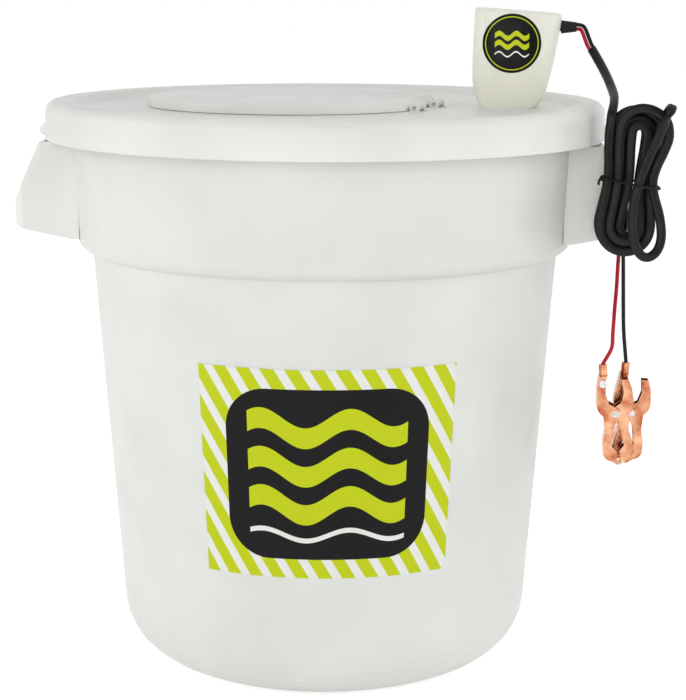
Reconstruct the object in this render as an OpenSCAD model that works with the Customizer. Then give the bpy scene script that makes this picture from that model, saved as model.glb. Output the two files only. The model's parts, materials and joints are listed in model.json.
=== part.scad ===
/* [Bucket] */
// Radius of the rounding between the base and the wall
base_round = 44; // [25:1:50]
// Wall radius that the straight taper would have at the floor
body_r_floor = 153.3; // [140:0.1:165]
// Wall radius just under the shoulder
body_r_top = 176; // [168:0.5:182]
// Height of the underside of the shoulder
shoulder_z = 314; // [290:1:330]
// Radius of the collar where it starts
collar_r_low = 187; // [183:0.5:192]
// Radius of the collar under the rim
collar_r_high = 190.5; // [188:0.5:195]
// Outer radius of the rolled rim
rim_r = 203.5; // [200:0.5:205]
// Height of the rim's top
rim_z = 421.7; // [410:0.1:421.7]
// Height of the rolled rim's band
rim_h = 13; // [8:1:16]
// Wall thickness of the bucket
bucket_wall = 3.2; // [2.5:0.1:4]

/* [Handles] */
// Width of each hood-shaped handle along the rim
handle_w = 120; // [90:1:140]
// Reach of the handles from the bucket's axis
handle_x = 229; // [222:1:240]
// Wall thickness of the handle hoods
handle_wall = 4; // [3:0.5:5]

/* [Lid] */
// Outer radius of the lid
lid_r = 209; // [207:0.5:212]
// Height of the lid's margin
lid_top = 425; // [425:1:425]
// Depth of the shallow dish inside the margin
lid_dish = 5; // [3:0.5:5]
// Height of the lid's skirt
skirt_h = 27; // [22:1:30]
// Thickness of the lid's plate and skirt
lid_wall = 3; // [2.5:0.1:3.2]
// Radius of the lid's top edge
lid_edge = 8; // [5:0.5:10]
// Radius of the access hole through the lid
access_r = 94; // [85:1:95]

/* [Access door] */
// Outer radius of the door
door_r = 108.5; // [105:0.5:110]
// Height of the door's top above the lid
door_h = 7.5; // [7.5:0.5:10]
// Thickness of the door
door_wall = 2.5; // [2:0.1:3]
// Distance of the door's centre from the bucket's axis, away from the pump
door_back = 26; // [24:1:28]
// Turn of the hinge line away from the Y axis, in degrees
hinge_turn = 17; // [12:1:20]
// Distance from the door's centre to the hinge axis
hinge_reach = 108; // [106:1:110]
// Distance of each hinge point from the middle of the hinge
hinge_spread = 23; // [18:1:28]
// Radius of the hinge pins
hinge_pin_r = 1.5; // [1.25:0.05:1.75]

/* [Aerator pump] */
// Distance of the pump's axis from the bucket's axis
pump_x = 135; // [134:1:137]
// Height of the pump's seam above the lid
pump_seam_h = 58; // [57:1:59]
// Outer radius of the drop tube
tube_r = 11; // [9:0.5:12]
// Height of the drop tube's lower end above the floor
tube_bottom = 62; // [50:1:90]
// Radius of the impeller
impeller_r = 13; // [11:0.5:14]
// Number of impeller blades
impeller_blades = 6; // [4:1:8]
// Radius of the drive shaft
shaft_r = 2; // [1.5:0.25:2.5]
// Radius of the round sticker on the housing
sticker_r = 21.5; // [18:0.5:22]

/* [Cord and clips] */
// Diameter of the cord's jacket as it is piled in the hank
cord_d = 6; // [5:0.1:6.2]
// Diameter of the single leads
lead_d = 2.8; // [2:0.1:3]
// Spiral step between turns of the hank
hank_step = 7; // [6.8:0.1:7.4]
// Step between layers of the hank
hank_layer = 6.6; // [6.5:0.1:7]

/* [Hidden] */
fine = 96;
taper = (body_r_top - body_r_floor) / shoulder_z;
lid_z = lid_top - lid_dish;
lid_under = lid_z - lid_wall;
gap = 0.4;
natural = "ghostwhite";
ivory = "ivory";
copper = "darksalmon";
jacket = "dimgray";
steel = "silver";

// Points of a round stretch about a centre, from one angle to another.
function arc(c, r, a0, a1, n = 8) =
    [for (i = [0:n]) c + r * [cos(a0 + (a1 - a0) * i / n), sin(a0 + (a1 - a0) * i / n)]];
function reversed(list) = [for (i = [len(list) - 1:-1:0]) list[i]];
function mix(a, b, t) = a + (b - a) * t;
function ease(t) = let (c = min(1, max(0, t))) c * c * (3 - 2 * c);
function unit(v) = v / norm(v);

// The bucket's outer wall radius at a height, drawn in by a wall thickness.
function body_r(z, inset = 0) = body_r_floor + taper * z - inset;

// Outer profile of the bucket, or the inner one when it is drawn in by a wall thickness.
function bucket_side(inset) = let (
        round = base_round - inset,
        lean = atan(taper),
        cx = body_r(base_round * (1 - sin(lean))) - base_round * cos(lean),
        shoulder = collar_r_low - body_r_top)
    concat(arc([cx, base_round], round, -90, -lean),
           [[body_r_top - inset, shoulder_z + inset * 0.4]],
           arc([body_r_top, shoulder_z + shoulder], shoulder - inset * 0.9, -70, 0, 5),
           [[collar_r_high - inset, rim_z - rim_h - 4 + inset]]);

module bucket_wall_solid() {
    lip = 3.5;
    rotate_extrude($fn = fine)
        polygon(concat([[0, 0]], bucket_side(0),
            [[rim_r - 1.5, rim_z - rim_h]],
            arc([rim_r - lip, rim_z - lip], lip, 0, 90, 4),
            arc([collar_r_high + 1, rim_z - 3], 3, 90, 180, 4),
            [[collar_r_high - bucket_wall, rim_z - rim_h]],
            reversed(bucket_side(bucket_wall)), [[0, bucket_wall]]));
}

// Side view of a handle hood, drawn in by a wall thickness. Its underside is open.
module hood_side(inset = 0) {
    crown = handle_x - 3 - inset;
    hood_top = 396 - inset;
    polygon(concat([[178, hood_top], [206 - inset * 0.5, hood_top]],
        arc([crown - 14, 350 - inset * 0.3], 14, 28, 0, 4),
        arc([crown - 6, 338], 6, 0, -75, 4),
        inset > 0 ? [[crown - 6, 300], [178, 300]] : [[183, 324.5], [178, 324.5]]));
}

module hood_plan(inset = 0) {
    corner = 14;
    x1 = handle_x;
    y1 = handle_w / 2 - inset;
    polygon(concat([[170, -y1]], arc([x1 - corner, -y1 + corner], corner - inset / 2, -90, 0, 4),
                   arc([x1 - corner, y1 - corner], corner - inset / 2, 0, 90, 4), [[170, y1]]));
}

module hood(inset = 0) {
    intersection() {
        translate([0, handle_w, 0]) rotate([90, 0, 0]) linear_extrude(2 * handle_w) hood_side(inset);
        translate([0, 0, 290]) linear_extrude(110) hood_plan(inset);
    }
}

module handle() {
    difference() {
        hood();
        hood(handle_wall);
        // The hood ends inside the collar's own wall.
        rotate_extrude($fn = fine)
            polygon([[0, 280], [collar_r_low - bucket_wall + 0.9, 280],
                     [collar_r_high - bucket_wall + 0.6, 400], [0, 400]]);
    }
}

module bucket() {
    color(natural) {
        union() {
            bucket_wall_solid();
            handle();
            mirror([1, 0, 0]) handle();
        }
    }
}

module lid_plate() {
    inner_edge = lid_edge - lid_wall;
    edge_at = [lid_r - lid_edge, lid_top - lid_edge];
    foot = lid_top - skirt_h;
    dish_r = 182;
    slope_w = 8;
    rotate_extrude($fn = fine)
        polygon(concat([[0, lid_under], [dish_r - 1, lid_under], [dish_r + slope_w - 1, lid_top - lid_wall]],
            arc(edge_at, inner_edge, 90, 0, 5),
            [[lid_r - lid_wall + 0.6, foot], [lid_r + 0.6, foot]],
            arc(edge_at, lid_edge, 0, 90, 8),
            [[dish_r + slope_w, lid_top], [dish_r, lid_z], [0, lid_z]]));
}

// Thumb bead on the skirt above a handle.
module thumb_bead() {
    bead_w = 60;
    bead_r = 4.4;
    foot = lid_top - skirt_h;
    intersection() {
        rotate_extrude($fn = fine)
            translate([lid_r + 0.4, foot + bead_r + 0.2]) circle(r = bead_r, $fn = 24);
        translate([lid_r - 20, -bead_w / 2, foot]) cube([30, bead_w, 10]);
        difference() {
            translate([lid_r - 40, -bead_w, foot - 1]) cube([60, 2 * bead_w, 12]);
            cylinder(h = lid_top, r = lid_r - 1, $fn = fine);
        }
    }
}

// Places its children at the hinge axis, with +X away from the door and +Y along the axis.
module at_hinge() {
    translate([-door_back, door_shift, hinge_z]) rotate([0, 0, -hinge_turn])
        translate([hinge_reach, 0, 0]) children();
}

door_shift = 6;
hinge_z = lid_z + 2.6;
knuckle_r = 3.4;
knuckle_w = 9;
lug_w = 3.5;
sides = [-1, 1];

// Two lugs of a hinge point, with their pin hole, either side of the door's knuckle.
module hinge_lugs() {
    for (side = sides, s = sides)
        translate([0, side * hinge_spread + s * (knuckle_w / 2 + gap + lug_w / 2) - lug_w / 2, 0])
            rotate([-90, 0, 0]) difference() {
                union() {
                    cylinder(h = lug_w, r = knuckle_r, $fn = 32);
                    translate([-knuckle_r, 0, 0]) cube([2 * knuckle_r, hinge_z - lid_under - 1, lug_w]);
                }
                translate([0, 0, -1]) cylinder(h = lug_w + 2, r = hinge_pin_r, $fn = 24);
            }
}

// Raised edge round the access hole, under the door.
module coaming(r0, r1) {
    top = lid_z + 2.4;
    translate([-door_back, door_shift, 0]) rotate_extrude($fn = fine)
        polygon([[r0, lid_under], [r1, lid_under], [r1, top], [r0, top]]);
}

module lid() {
    coaming_r = access_r + 3;
    tube_clear = 0.5;
    color(natural) union() {
        difference() {
            union() {
                lid_plate();
                coaming(access_r, coaming_r);
            }
            translate([-door_back, door_shift, lid_under - 1]) cylinder(h = 20, r = access_r, $fn = fine);
            // Slots under the hinge knuckles.
            at_hinge() for (side = sides)
                translate([-knuckle_r - 1, side * hinge_spread - knuckle_w / 2 - gap, -12])
                    cube([2 * knuckle_r + 5.2, knuckle_w + 2 * gap, 20]);
            translate([pump_x, 0, lid_under - 1]) cylinder(h = 6, r = tube_r + tube_clear, $fn = 48);
        }
        at_hinge() hinge_lugs();
        thumb_bead();
        mirror([1, 0, 0]) thumb_bead();
    }
}

// Plan of the door: a disc cut off straight along its hinge, drawn in by an inset.
module door_plan(inset, cut) {
    intersection() {
        circle(r = door_r - inset, $fn = fine);
        translate([-2 * door_r, -door_r]) square([2 * door_r + cut, 2 * door_r]);
    }
}

module access_door() {
    cut_top = 95;
    cut_low = 103;
    underside = lid_z + 0.4;
    top = lid_z + door_h;
    color(natural) union() {
        translate([-door_back, door_shift, 0]) rotate([0, 0, -hinge_turn]) difference() {
            intersection() {
                rotate_extrude($fn = fine)
                    polygon(concat([[0, underside], [door_r, underside]],
                        arc([door_r - 2.6, top - 2], 2, 0, 90, 4), [[0, top]]));
                // The hinge side slopes down from the top to the lid.
                translate([0, door_r, 0]) rotate([90, 0, 0]) linear_extrude(2 * door_r)
                    polygon([[-door_r, underside], [cut_low, underside], [cut_low, underside + 2],
                             [cut_top, top], [-door_r, top]]);
            }
            intersection() {
                translate([0, 0, underside - 1])
                    cylinder(h = door_h - door_wall + 0.6, r = door_r - door_wall - 0.6, $fn = fine);
                translate([0, door_r, 0]) rotate([90, 0, 0]) linear_extrude(2 * door_r)
                    polygon([[-door_r, underside - 1], [cut_low - door_wall, underside - 1],
                             [cut_low - door_wall, underside + 1], [cut_top - door_wall, top - door_wall],
                             [-door_r, top - door_wall]]);
            }
        }
        at_hinge() door_knuckles(cut_low - hinge_reach);
    }
}

// The door's two knuckles and the webs that carry them.
module door_knuckles(back) {
    clearance = 0.06;
    for (side = sides) translate([0, side * hinge_spread - knuckle_w / 2, 0]) difference() {
        union() {
            rotate([-90, 0, 0]) cylinder(h = knuckle_w, r = knuckle_r - 0.2, $fn = 32);
            translate([back - 1, 0, -1.6]) cube([-back + 1, knuckle_w, 3.2]);
        }
        translate([0, -1, 0]) rotate([-90, 0, 0])
            cylinder(h = knuckle_w + 2, r = hinge_pin_r + clearance, $fn = 32);
    }
}

module door_hinge_pins() {
    pin_l = knuckle_w + 2 * gap + 2 * lug_w;
    color(steel) at_hinge() for (side = sides)
        translate([0, side * hinge_spread - pin_l / 2, 0]) rotate([-90, 0, 0])
            cylinder(h = pin_l, r = hinge_pin_r, $fn = 24);
}

// Film wrapped on the tapered wall, facing the picture.
module front_label() {
    film = 0.3;
    low = 100;
    high = 252;
    half_angle = 31.6;
    middle = -85.3;
    color("yellowgreen") rotate([0, 0, middle - half_angle])
        rotate_extrude(angle = 2 * half_angle, $fn = fine)
            polygon([[body_r(low), low], [body_r(low) + film, low],
                     [body_r(high) + film, high], [body_r(high), high]]);
}

// Half-widths of the pump housing to the left and right, and its half-depth, from base 0 to top 1.
function pump_left(t) = 19 + 6 * sin(90 * min(1, t / 0.3)) - 2.5 * pow(max(0, t - 0.4), 1.2);
function pump_right(t) = 23 + 18 * pow(t, 0.55);
function pump_deep(t) = 19 + 6.5 * sin(90 * min(1, t / 0.6));

// One ring of the housing: a rounded square in plan, on a plane that tips down towards +X.
function pump_ring(t, rise, inset, n = 48) = [for (i = [0:n - 1]) let (
        a = 360 * i / n,
        c = cos(a),
        s = sin(a),
        q = pow(pow(abs(c), squareness) + pow(abs(s), squareness), -1 / squareness),
        x = q * c * ((c < 0 ? pump_left(t) : pump_right(t)) - inset),
        y = q * s * (pump_deep(t) - inset))
    [pump_x + x, y, lid_z + pump_h * t + rise - pump_tip * ease(t * 1.6) * x]];

squareness = 3.2;
pump_h = 72;
pump_tip = tan(4);
seam_z = lid_z + pump_seam_h;
seam_t = pump_seam_h / pump_h;
cap_t = 0.965;
cap_edge = 2.4;
levels = 8;

// Rings of the housing up to the seam, and of the cap from the seam over its rounded edge.
function housing_rings(inset = 0) =
    [for (j = [0:levels]) pump_ring(seam_t * j / levels, 0, inset)];
function cap_rings(inset = 0) = concat(
    [for (j = [0:2]) pump_ring(mix(seam_t, cap_t, j / 2), 0, inset)],
    [for (a = [30:30:90]) pump_ring(cap_t, cap_edge * sin(a), inset + cap_edge * (1 - cos(a)))]);

// Joins rings of equal length into one closed solid.
module loft(rings) {
    n = len(rings[0]);
    m = len(rings);
    sides = [for (j = [0:m - 2], i = [0:n - 1]) let (k = (i + 1) % n)
        each [[j * n + i, (j + 1) * n + i, (j + 1) * n + k], [j * n + i, (j + 1) * n + k, j * n + k]]];
    low = [for (i = [0:n - 1]) i];
    high = [for (i = [n - 1:-1:0]) (m - 1) * n + i];
    polyhedron([for (r = rings) each r], concat([low], sides, [high]), 4);
}

motor_r = 14;
motor_z = lid_z + 10;
can_h = 30;
bell_h = 6;
wiring_r = 17;
wiring_x = pump_x + 2;
screw_y = 20.6;
screw_head_z = lid_z + 68;
relief_z = seam_z + 1.4;
relief_r = 3;

module pump_housing() {
    color(ivory) difference() {
        loft(housing_rings());
        translate([pump_x, 0, lid_z - 1]) cylinder(h = 20, r = tube_r, $fn = 48);
        translate([pump_x, 0, motor_z]) cylinder(h = 60, r = motor_r, $fn = 48);
        translate([wiring_x, 0, motor_z + can_h + bell_h]) cylinder(h = 30, r = wiring_r, $fn = 48);
        cap_screw_holes(1);
    }
}

module cap_screw_holes(r) {
    for (s = sides) translate([wiring_x, s * screw_y, seam_z - 12]) cylinder(h = 40, r = r, $fn = 24);
}

module pump_cap() {
    ceiling = 9;
    low = 8;
    color(ivory) difference() {
        loft(cap_rings());
        translate([wiring_x, 0, seam_z - low]) cylinder(h = low + ceiling, r = wiring_r, $fn = 48);
        cap_screw_holes(1);
        for (s = sides) translate([wiring_x, s * screw_y, screw_head_z]) cylinder(h = 9, r = 2, $fn = 24);
        translate([wiring_x, 0, relief_z]) rotate([0, 90, 0]) cylinder(h = 60, r = relief_r, $fn = 32);
    }
}

// Round sticker that follows the front of the housing and its cap.
module pump_label() {
    film = 0.3;
    sticker_z = lid_z + 48;
    all_rings = function (inset) concat(housing_rings(inset), [for (i = [1:5]) cap_rings(inset)[i]]);
    color("black") difference() {
        intersection() {
            loft(all_rings(-film));
            translate([pump_x + 3.5, -15, sticker_z]) rotate([90, 0, 0])
                cylinder(h = 20, r = sticker_r, $fn = 48);
        }
        loft(all_rings(0));
    }
}

module cap_screws() {
    color(steel) for (s = sides) translate([wiring_x, s * screw_y, 0]) {
        translate([0, 0, seam_z - 10]) cylinder(h = screw_head_z - seam_z + 10, r = 1, $fn = 24);
        translate([0, 0, screw_head_z]) cylinder(h = 1.6, r = 2, $fn = 24);
    }
}

module motor_can() {
    wall = 1.2;
    color(steel) translate([pump_x, 0, motor_z]) difference() {
        cylinder(h = can_h, r = motor_r, $fn = 48);
        translate([0, 0, 2]) cylinder(h = can_h, r = motor_r - wall, $fn = 48);
        translate([0, 0, -1]) cylinder(h = 4, r = 3.5, $fn = 32);
    }
}

module motor_end_bell() {
    color("dimgray") translate([pump_x, 0, motor_z + can_h]) difference() {
        cylinder(h = bell_h, r = motor_r, $fn = 48);
        translate([0, 0, -1]) cylinder(h = 5, r = shaft_r + running, $fn = 32);
    }
}

running = 0.05;
coupling_z = lid_z - 26;
coupling_h = 14;

// Motor shaft with the wound rotor on it.
module motor_shaft() {
    color(steel) translate([pump_x, 0, coupling_z + coupling_h / 2]) union() {
        cylinder(h = motor_z + can_h + 3 - coupling_z - coupling_h / 2, r = shaft_r, $fn = 32);
        translate([0, 0, motor_z + 6 - coupling_z - coupling_h / 2]) cylinder(h = 20, r = 11, $fn = 32);
    }
}

module shaft_coupling() {
    color("dimgray") translate([pump_x, 0, coupling_z]) difference() {
        cylinder(h = coupling_h, r = 5, $fn = 32);
        translate([0, 0, -1]) cylinder(h = coupling_h + 2, r = shaft_r, $fn = 32);
    }
}

tube_wall = 2;
tube_low = tube_bottom + 28;
tube_high = motor_z;
volute_r = 19;
impeller_z = tube_bottom + 15;

module drive_shaft() {
    low = impeller_z - 1;
    color(steel) translate([pump_x, 0, low])
        cylinder(h = coupling_z + coupling_h / 2 - low, r = shaft_r, $fn = 32);
}

module impeller() {
    hub_r = 4.5;
    blade_h = 6;
    color("dimgray") translate([pump_x, 0, impeller_z]) difference() {
        union() {
            cylinder(h = 1.8, r = impeller_r, $fn = 48);
            cylinder(h = 1.8 + blade_h, r = hub_r, $fn = 32);
            // Blades lean back from the radial line.
            for (i = [0:impeller_blades - 1]) rotate([0, 0, 360 * i / impeller_blades])
                translate([hub_r - 1, 0, 1]) rotate([0, 0, -25]) translate([0, -0.6, 0])
                    cube([impeller_r - hub_r - 1, 1.2, 0.8 + blade_h]);
        }
        translate([0, 0, -1]) cylinder(h = blade_h + 4, r = shaft_r, $fn = 32);
    }
}

// Riser tube from the pump chamber to the housing, with spray holes under the lid.
module drop_tube() {
    hole_r = 1.8;
    hole_z = lid_z - 42;
    color(natural) difference() {
        translate([pump_x, 0, tube_low]) cylinder(h = tube_high - tube_low, r = tube_r, $fn = 48);
        translate([pump_x, 0, tube_low - 1])
            cylinder(h = tube_high - tube_low + 2, r = tube_r - tube_wall, $fn = 48);
        for (i = [0:5]) translate([pump_x, 0, hole_z]) rotate([0, 90, 60 * i])
            cylinder(h = tube_r + 2, r = hole_r, $fn = 24);
    }
}

module tube_locknut() {
    color("dimgray") difference() {
        translate([pump_x, 0, lid_under - 10]) cylinder(h = 8, r = 18, $fn = 6);
        translate([pump_x, 0, lid_under - 11]) cylinder(h = 10, r = tube_r, $fn = 48);
    }
}

module lid_gasket() {
    color("dimgray") difference() {
        translate([pump_x, 0, lid_under - 2]) cylinder(h = 2, r = 16, $fn = 48);
        translate([pump_x, 0, lid_under - 3]) cylinder(h = 4, r = tube_r, $fn = 48);
    }
}

// Ring in the tube that carries the shaft, with its pillars' gaps for the water.
module tube_ring(z, h, passages) {
    difference() {
        translate([pump_x, 0, z]) cylinder(h = h, r = tube_r - tube_wall, $fn = 48);
        translate([pump_x, 0, z - 1]) cylinder(h = h + 2, r = shaft_r + running, $fn = 32);
        for (i = [1:1:passages]) translate([pump_x, 0, z - 1]) rotate([0, 0, 360 * i / passages])
            translate([5.6, 0, 0]) cylinder(h = h + 2, r = 2, $fn = 24);
    }
}

module shaft_seal() {
    color("dimgray") tube_ring(lid_z - 8, 5, 0);
}

module lower_bearing() {
    color("dimgray") tube_ring(tube_low + 8, 6, 3);
}

// Chamber round the impeller, clamped on the tube's lower end.
module pump_volute() {
    wall = 2.5;
    floor_z = tube_bottom + 10;
    color("dimgray") difference() {
        translate([pump_x, 0, floor_z]) cylinder(h = 24, r = volute_r, $fn = 48);
        translate([pump_x, 0, floor_z + 2.5]) cylinder(h = 12, r = volute_r - wall, $fn = 48);
        translate([pump_x, 0, floor_z - 1]) cylinder(h = 5, r = 8, $fn = 48);
        translate([pump_x, 0, tube_low]) cylinder(h = 10, r = tube_r, $fn = 48);
        translate([pump_x, 0, floor_z + 13]) cylinder(h = 10, r = tube_r - tube_wall, $fn = 48);
    }
}

module intake_strainer() {
    slots = 16;
    wall = 2;
    color("dimgray") translate([pump_x, 0, tube_bottom]) difference() {
        cylinder(h = 10, r = volute_r, $fn = 48);
        translate([0, 0, wall]) cylinder(h = 10, r = volute_r - wall, $fn = 48);
        for (i = [0:slots - 1]) rotate([0, 0, 360 * i / slots])
            translate([8, -1.2, wall + 1]) cube([14, 2.4, 5]);
    }
}

relief_x = pump_x + 40.4;
relief_end = pump_x + 51.7;

// Tapered strain relief, seated in the cap's wall.
module strain_relief() {
    big = 4.9;
    small = 3.5;
    neck = 6;
    color(jacket) translate([0, 0, relief_z]) rotate([0, 90, 0]) rotate_extrude($fn = 48)
        polygon([[0, relief_x - neck], [relief_r, relief_x - neck], [relief_r, relief_x], [big, relief_x],
                 [small, relief_end], [0, relief_end]]);
}

// Direction of travel at each point of a route.
function heading(p, i) = unit(p[min(i + 1, len(p) - 1)] - p[max(i - 1, 0)]);

// Ring of a tube round one point of a route.
function tube_ring_at(p, i, r, n) = let (
        t = heading(p, i),
        b = unit(cross(t, [0, 1, 0.03])),
        m = cross(b, t))
    [for (k = [0:n - 1]) p[i] + r * (b * cos(360 * k / n) + m * sin(360 * k / n))];

// Closed tube along a route, with square ends and triangular faces.
module tube(p, r, n) {
    m = len(p);
    points = concat([for (i = [0:m - 1]) each tube_ring_at(p, i, r, n)], [p[0], p[m - 1]]);
    wall = [for (j = [0:m - 2], i = [0:n - 1]) let (k = (i + 1) % n)
        each [[j * n + i, j * n + k, (j + 1) * n + k], [j * n + i, (j + 1) * n + k, (j + 1) * n + i]]];
    start = [for (i = [0:n - 1]) [(i + 1) % n, i, m * n]];
    end = [for (i = [0:n - 1]) [(m - 1) * n + i, (m - 1) * n + (i + 1) % n, m * n + 1]];
    polyhedron(points, concat(wall, start, end), 4);
}

// Smooth route through chosen points, with straight first and last stretches.
function smooth(p, steps) = let (last = len(p) - 1) concat([p[0]],
    [for (i = [1:last - 2], k = [0:steps - 1]) let (
        t = k / steps,
        a = p[i - 1], b = p[i], c = p[i + 1], d = p[i + 2])
        0.5 * ((2 * b) + (c - a) * t + (2 * a - 5 * b + 4 * c - d) * t * t
               + (3 * b - a - 3 * c + d) * t * t * t)],
    [p[last - 1], p[last]]);

// The hank's own plane: w runs across it, l up along it and y towards the back.
hank_centre = [223.3, -86.8, 374.8];
hank_lean = 5;
function in_hank(q) = hank_centre
    + q[0] * [cos(hank_lean), 0, -sin(hank_lean)]
    + q[1] * [sin(hank_lean), 0, cos(hank_lean)]
    + [0, q[2], 0];

arc_l = 33;
top_r = 5.5;
bottom_r = 6.5;
waist_w = 3.6;
rings_a_loop = 24;

// Spiral count of the winding after u loops: in, out and in again, with a climb after each.
function spiral(u) = u < 2 ? 2 - u : u < 2.25 ? 0 : u < 4 ? u - 2.25 : u < 4.25 ? 1.75 : 6 - u;
function layer(u) = hank_layer * (ease((u - 2) / 0.25) + ease((u - 4) / 0.25));

// Half-width of a run at height l, drawn in at the waist.
function run_w(s, l) = let (
        draw = 0.5 + 0.5 * cos(180 * l / arc_l),
        wide = mix(bottom_r, top_r, (l + arc_l) / (2 * arc_l)) + hank_step * s)
    mix(wide, waist_w + hank_step * s, draw);

// The middle layer lies across, in the hollows of the others. It shifts in the fold before each climb.
function across(u) = 1.8 * (ease((u - 1.75) / 0.25) - ease((u - 3.75) / 0.25));

// A point of the winding after u loops: down on the left, round, up on the right and round.
function wound(u) = let (
        s = spiral(u),
        m = across(u),
        part = 4 * (u - floor(u)),
        q = part - floor(part),
        a = 180 * q,
        l = arc_l * (1 - 2 * q))
    part < 1 ? [m - run_w(s, l), l, layer(u)]
    : part < 2 ? let (r = bottom_r + hank_step * s) [m - r * cos(a), -arc_l - r * sin(a), layer(u)]
    : part < 3 ? [m + run_w(s, -l), -l, layer(u)]
    : let (r = top_r + hank_step * s) [m + r * cos(a), arc_l + r * sin(a), layer(u)];

// The loose strand that bends over the top right and runs down across the front.
front_strand = [[15, 37, 0], [17.5, 46, -0.5], [20, 52.5, -2.6], [21, 54.5, -7], [19.8, 51.5, -11.6],
    [17, 44, -13.8], [13, 32, -14], [8, 18, -13.8], [4.5, 4, -13.6], [2, -12, -13.6],
    [2.5, -28, -13.6], [5.5, -41, -13.2], [11, -50, -12], [17.5, -51.5, -10.5], [23, -46, -9],
    [24.5, -36, -8], [21.5, -22, -7], [16, -8, -7], [14, 2, -7], [15.5, 12, -7], [19.5, 24, -7],
    [21.5, 34, -7], [18.5, 44.5, -7.2], [10, 50.5, -6.4], [0, 51.5, -4.5], [-8, 47, -2.5],
    [-12, 40, -0.8]];
hank_start = [[-19.5, 45, 0], [-19.5, 39, 0]];
hank_end = [[-5.3, 24, 13.8], [-5, 14, 16], [-4.6, 4, 18.4], [-3.6, -6, 19.8], [-2.2, -18, 20],
            [-0.8, -30, 20], [0, -41, 20], [0, -48, 20]];

first_loop = [for (i = [0:17]) wound(i / rings_a_loop)];
later_loops = [for (i = [rings_a_loop:6 * rings_a_loop]) wound(i / rings_a_loop)];
front_bends = smooth(concat([first_loop[16]], front_strand, [later_loops[0]]), 2);
hank_route = [for (q = concat(hank_start, first_loop, [for (i = [1:len(front_bends) - 2]) front_bends[i]],
                              later_loops, smooth(hank_end, 2))) in_hank(q)];

// Least distance between two stretches of the route that aren't next to each other.
function run_length(p) = [for (i = 0, d = 0; i < len(p);
    d = i < len(p) - 1 ? d + norm(p[i + 1] - p[i]) : d, i = i + 1) d];
along = run_length(hank_route);
function point_to_piece(q, a, b) = let (t = min(1, max(0, (q - a) * (b - a) / ((b - a) * (b - a)))))
    norm(q - a - t * (b - a));
least_gap = min([for (i = [0:len(hank_route) - 1], j = [i + 1:1:len(hank_route) - 2])
    if (along[j] - along[i] > 2.2 * cord_d)
        point_to_piece(hank_route[i], hank_route[j], hank_route[j + 1])]) - cord_d;
echo(hank_gap_mm = least_gap, hank_length_mm = along[len(along) - 1]);

module cord_hank() {
    color(jacket) tube(hank_route, cord_d / 2, 6);
}

drop_end = hank_route[0];
drop_dir = unit(hank_route[1] - hank_route[0]);
lead_out = [relief_end, 0, relief_z];
jacket_start = [198, -8, 463.5];
drop_route = [jacket_start, [200.5, -13, 459], [204.5, -24, 451.5], [208, -39, 443.5], [210, -54, 437],
              [210.6, -68, 432.5], [209.6, -79.5, 428], drop_end - 3.5 * drop_dir, drop_end];

module cord_drop() {
    color(jacket) tube(smooth(drop_route, 3), cord_d / 2, 8);
}

// Route down the middle between the two single leads, from the strain relief to the jacket.
lead_in = unit(drop_route[1] - drop_route[0]);
lead_middle = smooth([lead_out, lead_out + [2, 0, 0], lead_out + [5, -1.5, -1.8],
                      jacket_start - 5 * lead_in + [-0.4, 0.4, 0.8], jacket_start - 2 * lead_in,
                      jacket_start], 3);
lead_offset = 1.55;

// A single lead beside its twin: 1 above and to the right of the middle, -1 below and to the left.
module motor_lead(side) {
    tube([for (i = [0:len(lead_middle) - 1])
        lead_middle[i] + side * lead_offset * unit(cross(heading(lead_middle, i), [0, 1, 0]))],
        lead_d / 2, 8);
}

module motor_lead_red() {
    color("crimson") motor_lead(-1);
}

module motor_lead_black() {
    color(jacket) motor_lead(1);
}

// Elastic ring drawn tight round the hank's waist, with its knot.
module hank_tie() {
    ring_r = 1.1;
    w0 = -23.6;
    w1 = 23;
    y0 = -18.2;
    y1 = 24.4;
    corner = 9;
    corners = [[w0, y0, 180], [w1, y0, 270], [w1, y1, 0], [w0, y1, 90]];
    loop = [for (c = corners, k = [0:4]) let (
            a = c[2] + 22.5 * k,
            cx = c[0] < 0 ? w0 + corner : w1 - corner,
            cy = c[1] < 0 ? y0 + corner : y1 - corner)
        in_hank([cx + corner * cos(a), -1.5 - 0.08 * (cx + corner * cos(a)), cy + corner * sin(a)])];
    n = 6;
    m = len(loop);
    points = [for (i = [0:m - 1]) let (
            t = unit(loop[(i + 1) % m] - loop[(i + m - 1) % m]),
            b = unit(cross(t, [0.09, 0, 1])),
            c = cross(b, t))
        each [for (k = [0:n - 1]) loop[i] + ring_r * (b * cos(60 * k) + c * sin(60 * k))]];
    color("black") union() {
        polyhedron(points, [for (j = [0:m - 1], i = [0:n - 1]) let (k = (i + 1) % n, j2 = (j + 1) % m)
            each [[j * n + i, j * n + k, j2 * n + k], [j * n + i, j2 * n + k, j2 * n + i]]], 4);
        translate(in_hank([w0 - 0.4, 0.4, -6])) sphere(r = 2, $fn = 16);
    }
}

clip_depth = 13;
clip_plate = 1.2;
red_pivot = [217, -87.5, 207];
red_lean = -5;
black_pivot = [229.5, -69.5, 204];
black_lean = 4;
crimp = [-7, 0, 32];
lead_from = hank_route[len(hank_route) - 1];

function leaning(v, lean) = [v[0] * cos(lean) + v[2] * sin(lean), v[1], v[2] * cos(lean) - v[0] * sin(lean)];

// Lead from the hank's end down into a clip's crimp.
module battery_lead(side, pivot, lean, route) {
    from = lead_from + [side * 1.45, 0, 0];
    to = pivot + leaning(crimp, lean);
    end_dir = leaning([0, 0, -1], lean);
    tube(smooth(concat([from, from - [0, 0, 3]], route, [to - 4 * end_dir, to]), 4), lead_d / 2, 8);
}

module battery_lead_red() {
    color("crimson") battery_lead(-1, red_pivot, red_lean,
        [[217, -69, 312], [216, -75, 296], [214.5, -82, 280], [213.5, -86.5, 265], [212.8, -87.5, 254]]);
}

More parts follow.
